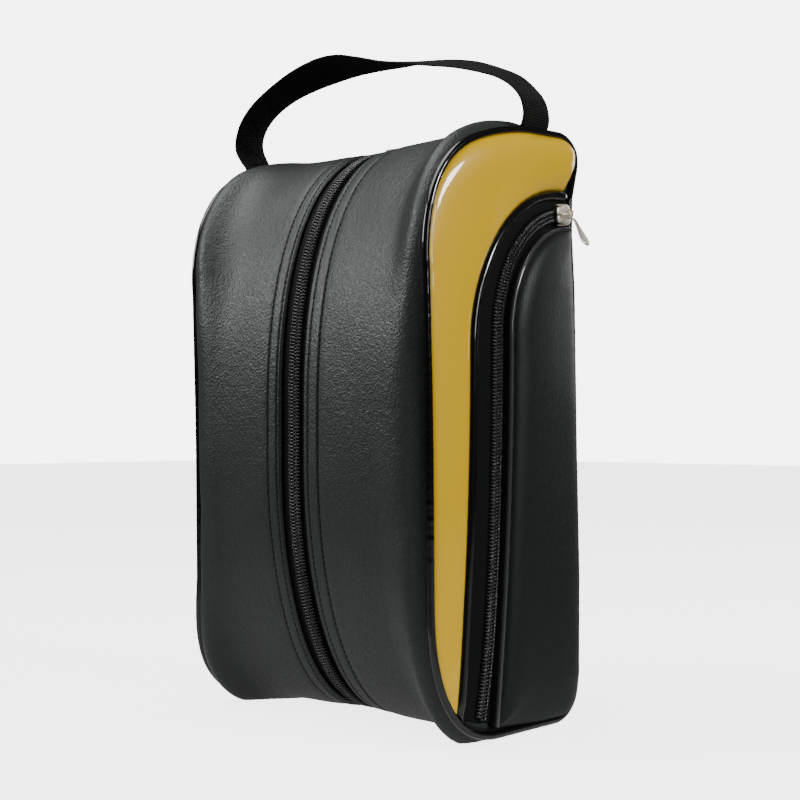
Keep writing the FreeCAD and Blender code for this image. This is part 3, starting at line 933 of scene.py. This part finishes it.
def build_tabs():
    for label, z in (("top", TOP_Z), ("base", BASE_Z)):
        inner, outer = angle_at(46.0, z), angle_at(60.0, z * 0.985 + 2.6)
        if label == "base":
            inner, outer = outer, inner
        angles = np.linspace(min(inner, outer), max(inner, outer), 18)
        xs = np.linspace(-11, 11, 17)
        a, x = np.meshgrid(angles, xs, indexing="ij")
        rim = np.minimum(11 - np.abs(x), np.minimum(np.arange(18), np.arange(18)[::-1])[:, None])
        lift = 1.5 + 0.7 * dome(rim, 2.0)
        top = gusset(x, a, -lift)
        low = gusset(x, a, -lift + 1.2)
        top[..., 0] = x
        low[..., 0] = x
        tab = shell("zip_end_tab_" + label, top, low, BLACK_LEATHER, flip=True)
        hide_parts("zip_end_tab_" + label)
        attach(tab, "root")


def pebble(outline_points, levels):
    """Verts and faces of a plate with rounded edges: rings of (inset, height) and two caps."""
    reach = np.linalg.norm(outline_points, axis=1, keepdims=True)
    rings = [
        np.hstack([outline_points * (1 - inset / reach), np.full((len(reach), 1), height)])
        for inset, height in levels
    ]
    count = len(outline_points)
    faces = grid_faces(len(rings), count, True)
    faces.append(tuple(reversed(range(count))))
    faces.append(tuple(range((len(rings) - 1) * count, len(rings) * count)))
    return np.vstack(rings), faces


def slider_parts(longer=1.0):
    """Cast slider with side flanges and an arched bridge, along Y and facing Z."""
    half = np.array([(0, 7.2), (2.8, 7.0), (5.3, 5.6), (6.5, 3.2), (6.4, 0.6), (5.2, -1.8),
                     (4.9, -4.6), (4.3, -6.4), (1.6, -6.9), (0, -6.2)]) * (1, longer)
    loop = np.vstack([half, half[-2:0:-1] * (-1, 1)])
    loop = resample(np.vstack([loop, loop[:1]]), 65)[:-1][::-1]
    round_edge = ((0.5, 0.0), (0.05, 0.2), (0.0, 0.9), (0.3, 1.35), (1.0, 1.6), (2.2, 1.7))
    parts = [pebble(loop, round_edge)]
    if longer == 1.0:
        turn = np.linspace(0, 2 * math.pi, 24, endpoint=False)
        rail = np.stack([0.5 * np.cos(turn), 5.0 * np.sin(turn)], 1)
        for flange in (1, -1):
            verts, faces = pebble(rail, ((0.15, -1.5), (0.0, -1.2), (0.0, 0.3)))
            parts.append((verts + np.array([flange * 6.0, 0.2, 0]), faces))
    sweep = np.linspace(0, math.pi, 21)
    arch = np.stack([0 * sweep, 4.9 * np.cos(sweep), 1.3 + 3.1 * np.sin(sweep) ** 0.7], 1)
    thick = 0.62 + 0.5 * np.abs(np.cos(sweep)) ** 3
    parts.append(tube_parts(arch, thick, sides=12, up=(1, 0, 0)))
    return joined(parts)


def drop_parts(start, length, stand):
    """Drop-shaped blade hanging down Z from start, standing off X by stand at its foot."""
    rows, ring = 40, 20
    down = np.linspace(0, 1, rows)
    z = start - length * down
    broad = 1.25 + 3.1 * smoothstep(0.12, 0.86, down)
    broad = broad * np.sqrt(np.clip(1 - ((down - 0.78) / 0.2201).clip(0, 1) ** 2, 0.004, 1))
    broad = broad * np.sqrt(np.clip(1 - ((0.06 - down) / 0.0601).clip(0, 1) ** 2, 0.05, 1))
    out = stand * smoothstep(0.0, 0.16, down)
    deep = np.minimum(0.68, 0.2 + broad * 0.5)
    spin = np.linspace(0, 2 * math.pi, ring, endpoint=False)
    flat_y = np.sign(np.cos(spin)) * np.abs(np.cos(spin)) ** 0.8
    flat_x = np.sign(np.sin(spin)) * np.abs(np.sin(spin)) ** 0.8
    rings = np.stack([
        out[:, None] + deep[:, None] * flat_x[None, :],
        broad[:, None] * flat_y[None, :],
        np.broadcast_to(z[:, None], (rows, ring)),
    ], -1)
    faces = grid_faces(rows, ring, True)
    faces += [tuple(reversed(range(ring))), tuple(range((rows - 1) * ring, rows * ring))]
    return rings.reshape(-1, 3), faces


def metal_piece(node, verts, faces, side=1):
    piece = make(node, verts, faces, BRIGHT_METAL, side)
    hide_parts(node)
    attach(piece, node)


def build_main_slider():
    """Slider at the closed end of the main zip, its pull lying forward along the teeth."""
    base = np.array([0, 33.0, 353.2])
    verts, faces = slider_parts(17 / 14)
    metal_piece("main_slider", base + verts * (-1, -1, 1), faces)
    turn = np.linspace(0, 2 * math.pi, 32, endpoint=False)
    across = 2.6 * np.sign(np.cos(turn)) * np.abs(np.cos(turn)) ** 0.5
    along = -3.5 + 3.5 * np.sign(np.sin(turn)) * np.abs(np.sin(turn)) ** 0.5
    link = np.stack([across, along, 0 * turn], 1)
    loop = tube_parts(link, 0.58, sides=10, closed=True, up=(0, 0, 1))
    verts, faces = drop_parts(0.0, 13.5, 0.0)
    x, y, z = verts.T
    blade = np.stack([y, z - 7.0, x - 1.9 * smoothstep(2, 13, -z)], 1)
    verts, faces = joined([loop, (blade, faces)])
    metal_piece("main_pull", base + np.array([0, 0, 2.55]) + verts, faces)


def build_pocket_slider(side, name):
    """Slider parked at the upper back end of the pocket zip, and its hanging pull."""
    verts, faces = slider_parts()
    lean = math.radians(7)
    centre = np.array([105.9, 60 - 68.5 * math.sin(lean), 238 + 68.5 * math.cos(lean)])
    across, along, up = verts.T
    verts = centre + np.stack([
        up, along * math.cos(lean) + across * math.sin(lean),
        along * math.sin(lean) - across * math.cos(lean),
    ], 1)
    metal_piece("pocket_slider_" + name, verts, faces, side)

    turn = np.linspace(0, 2 * math.pi, 24, endpoint=False)
    circle = np.stack([2.5 * np.cos(turn), 0 * turn, 2.5 * np.sin(turn)], 1)
    ring = tube_parts(circle, 0.55, sides=10, closed=True, up=(0, 1, 0))
    verts, faces = joined([ring, drop_parts(-2.3, 21.6, 1.35)])
    tilt = math.radians(30)
    x, y, z = verts.T
    verts = centre + np.array([5.1, 0, 0]) + np.stack([
        x * math.cos(tilt) - z * math.sin(tilt), y, x * math.sin(tilt) + z * math.cos(tilt),
    ], 1)
    metal_piece("pocket_pull_" + name, verts, faces, side)


for side, name in SIDES:
    FRONT_IN["now"] = FRONT_DRAWN[side]
    build_gusset(side, name)
    build_main_zip(side, name)
    build_back(side, name)
    build_side(side, name)
    build_pocket_slider(side, name)
FRONT_IN["now"] = FRONT_DRAWN[1]
build_handle()
build_tabs()
build_main_slider()


# ---------------------------------------------------------------- floor, light, camera

def seen_directly(tree, unseen, seen):
    """A value that differs between what the camera sees and what lights the bag."""
    sight = tree.nodes.new("ShaderNodeLightPath")
    level = tree.nodes.new("ShaderNodeMapRange")
    level.inputs["To Min"].default_value = unseen
    level.inputs["To Max"].default_value = seen
    tree.links.new(sight.outputs["Is Camera Ray"], level.inputs["Value"])
    return level.outputs["Result"]


def studio():
    white = Look("floor_paint", (0.22, 0.22, 0.22), 0.7, Emission_Color=(1, 1, 1, 1))
    white.tint(seen_directly(white.tree, 0, 1), (0.86, 0.86, 0.86))
    white.link(seen_directly(white.tree, 0, 3.6), white.shader.inputs["Emission Strength"])
    mesh = bpy.data.meshes.new("floor")
    size = 6.0
    mesh.from_pydata([(-size, -size, 0), (size, -size, 0), (size, size, 0), (-size, size, 0)],
                     [], [(0, 1, 2, 3)])
    mesh.materials.append(white.material)
    floor = bpy.data.objects.new("floor", mesh)
    bpy.context.scene.collection.objects.link(floor)
    world = bpy.data.worlds.new("studio")
    world.use_nodes = True
    backdrop = world.node_tree.nodes["Background"]
    backdrop.inputs["Color"].default_value = (1, 1, 1, 1)
    world.node_tree.links.new(seen_directly(world.node_tree, 0.05, 6.0),
                              backdrop.inputs["Strength"])
    bpy.context.scene.world = world
    for label, place, aim, power, wide, tall in (
        ("top", (-0.3, -0.5, 1.5), (0, 0, 0.1), 22, 1.3, 1.3),
        ("front", (-1.1, -1.2, 0.95), (0, 0, 0.42), 1.6, 0.6, 0.6),
        ("key", (1.75, 0.35, 1.05), (0, 0, 0.2), 18.5, 0.35, 0.35),
        ("strip_1", (1.5, -0.28, 0.62), (0, 0, 0.3), 1.6, 0.05, 0.5),
        ("strip_2", (1.5, -0.05, 0.62), (0, 0, 0.3), 1.6, 0.05, 0.5),
        ("rear", (0.2, 1.6, 0.7), (0, 0, 0.2), 6, 0.7, 0.8),
        ("floor_glow", (0, -0.05, 0.0002), (0, -0.05, 1), 0.24, 0.5, 0.5),
    ):
        lamp = bpy.data.lights.new(label, "AREA")
        lamp.shape = "RECTANGLE"
        lamp.size, lamp.size_y = wide, tall
        lamp.energy = power
        holder = bpy.data.objects.new(label, lamp)
        holder.visible_camera = False
        if label == "front":
            lamp.spread = math.radians(60)
        holder.location = place
        holder.rotation_euler = (Vector(aim) - Vector(place)).to_track_quat("-Z", "Y").to_euler()
        bpy.context.scene.collection.objects.link(holder)


def make_camera():
    """Level camera at the middle height of the bag, 42.5 degrees round to the right."""
    turn = math.radians(42.5)
    right = Vector((math.cos(turn), math.sin(turn), 0))
    ahead = Vector((-math.sin(turn), math.cos(turn), 0))
    data = bpy.data.cameras.new("camera")
    data.sensor_width = 36.0
    data.lens = 60.75
    data.shift_y = 0.04
    data.clip_start = 0.05
    camera = bpy.data.objects.new("camera", data)
    camera.location = (right * 15.7 - ahead * 842.1) / 1000 + Vector((0, SHIFT_Y, 176)) / 1000
    camera.rotation_euler = (math.pi / 2, 0, turn)
    bpy.context.scene.collection.objects.link(camera)
    bpy.context.scene.camera = camera


studio()
make_camera()
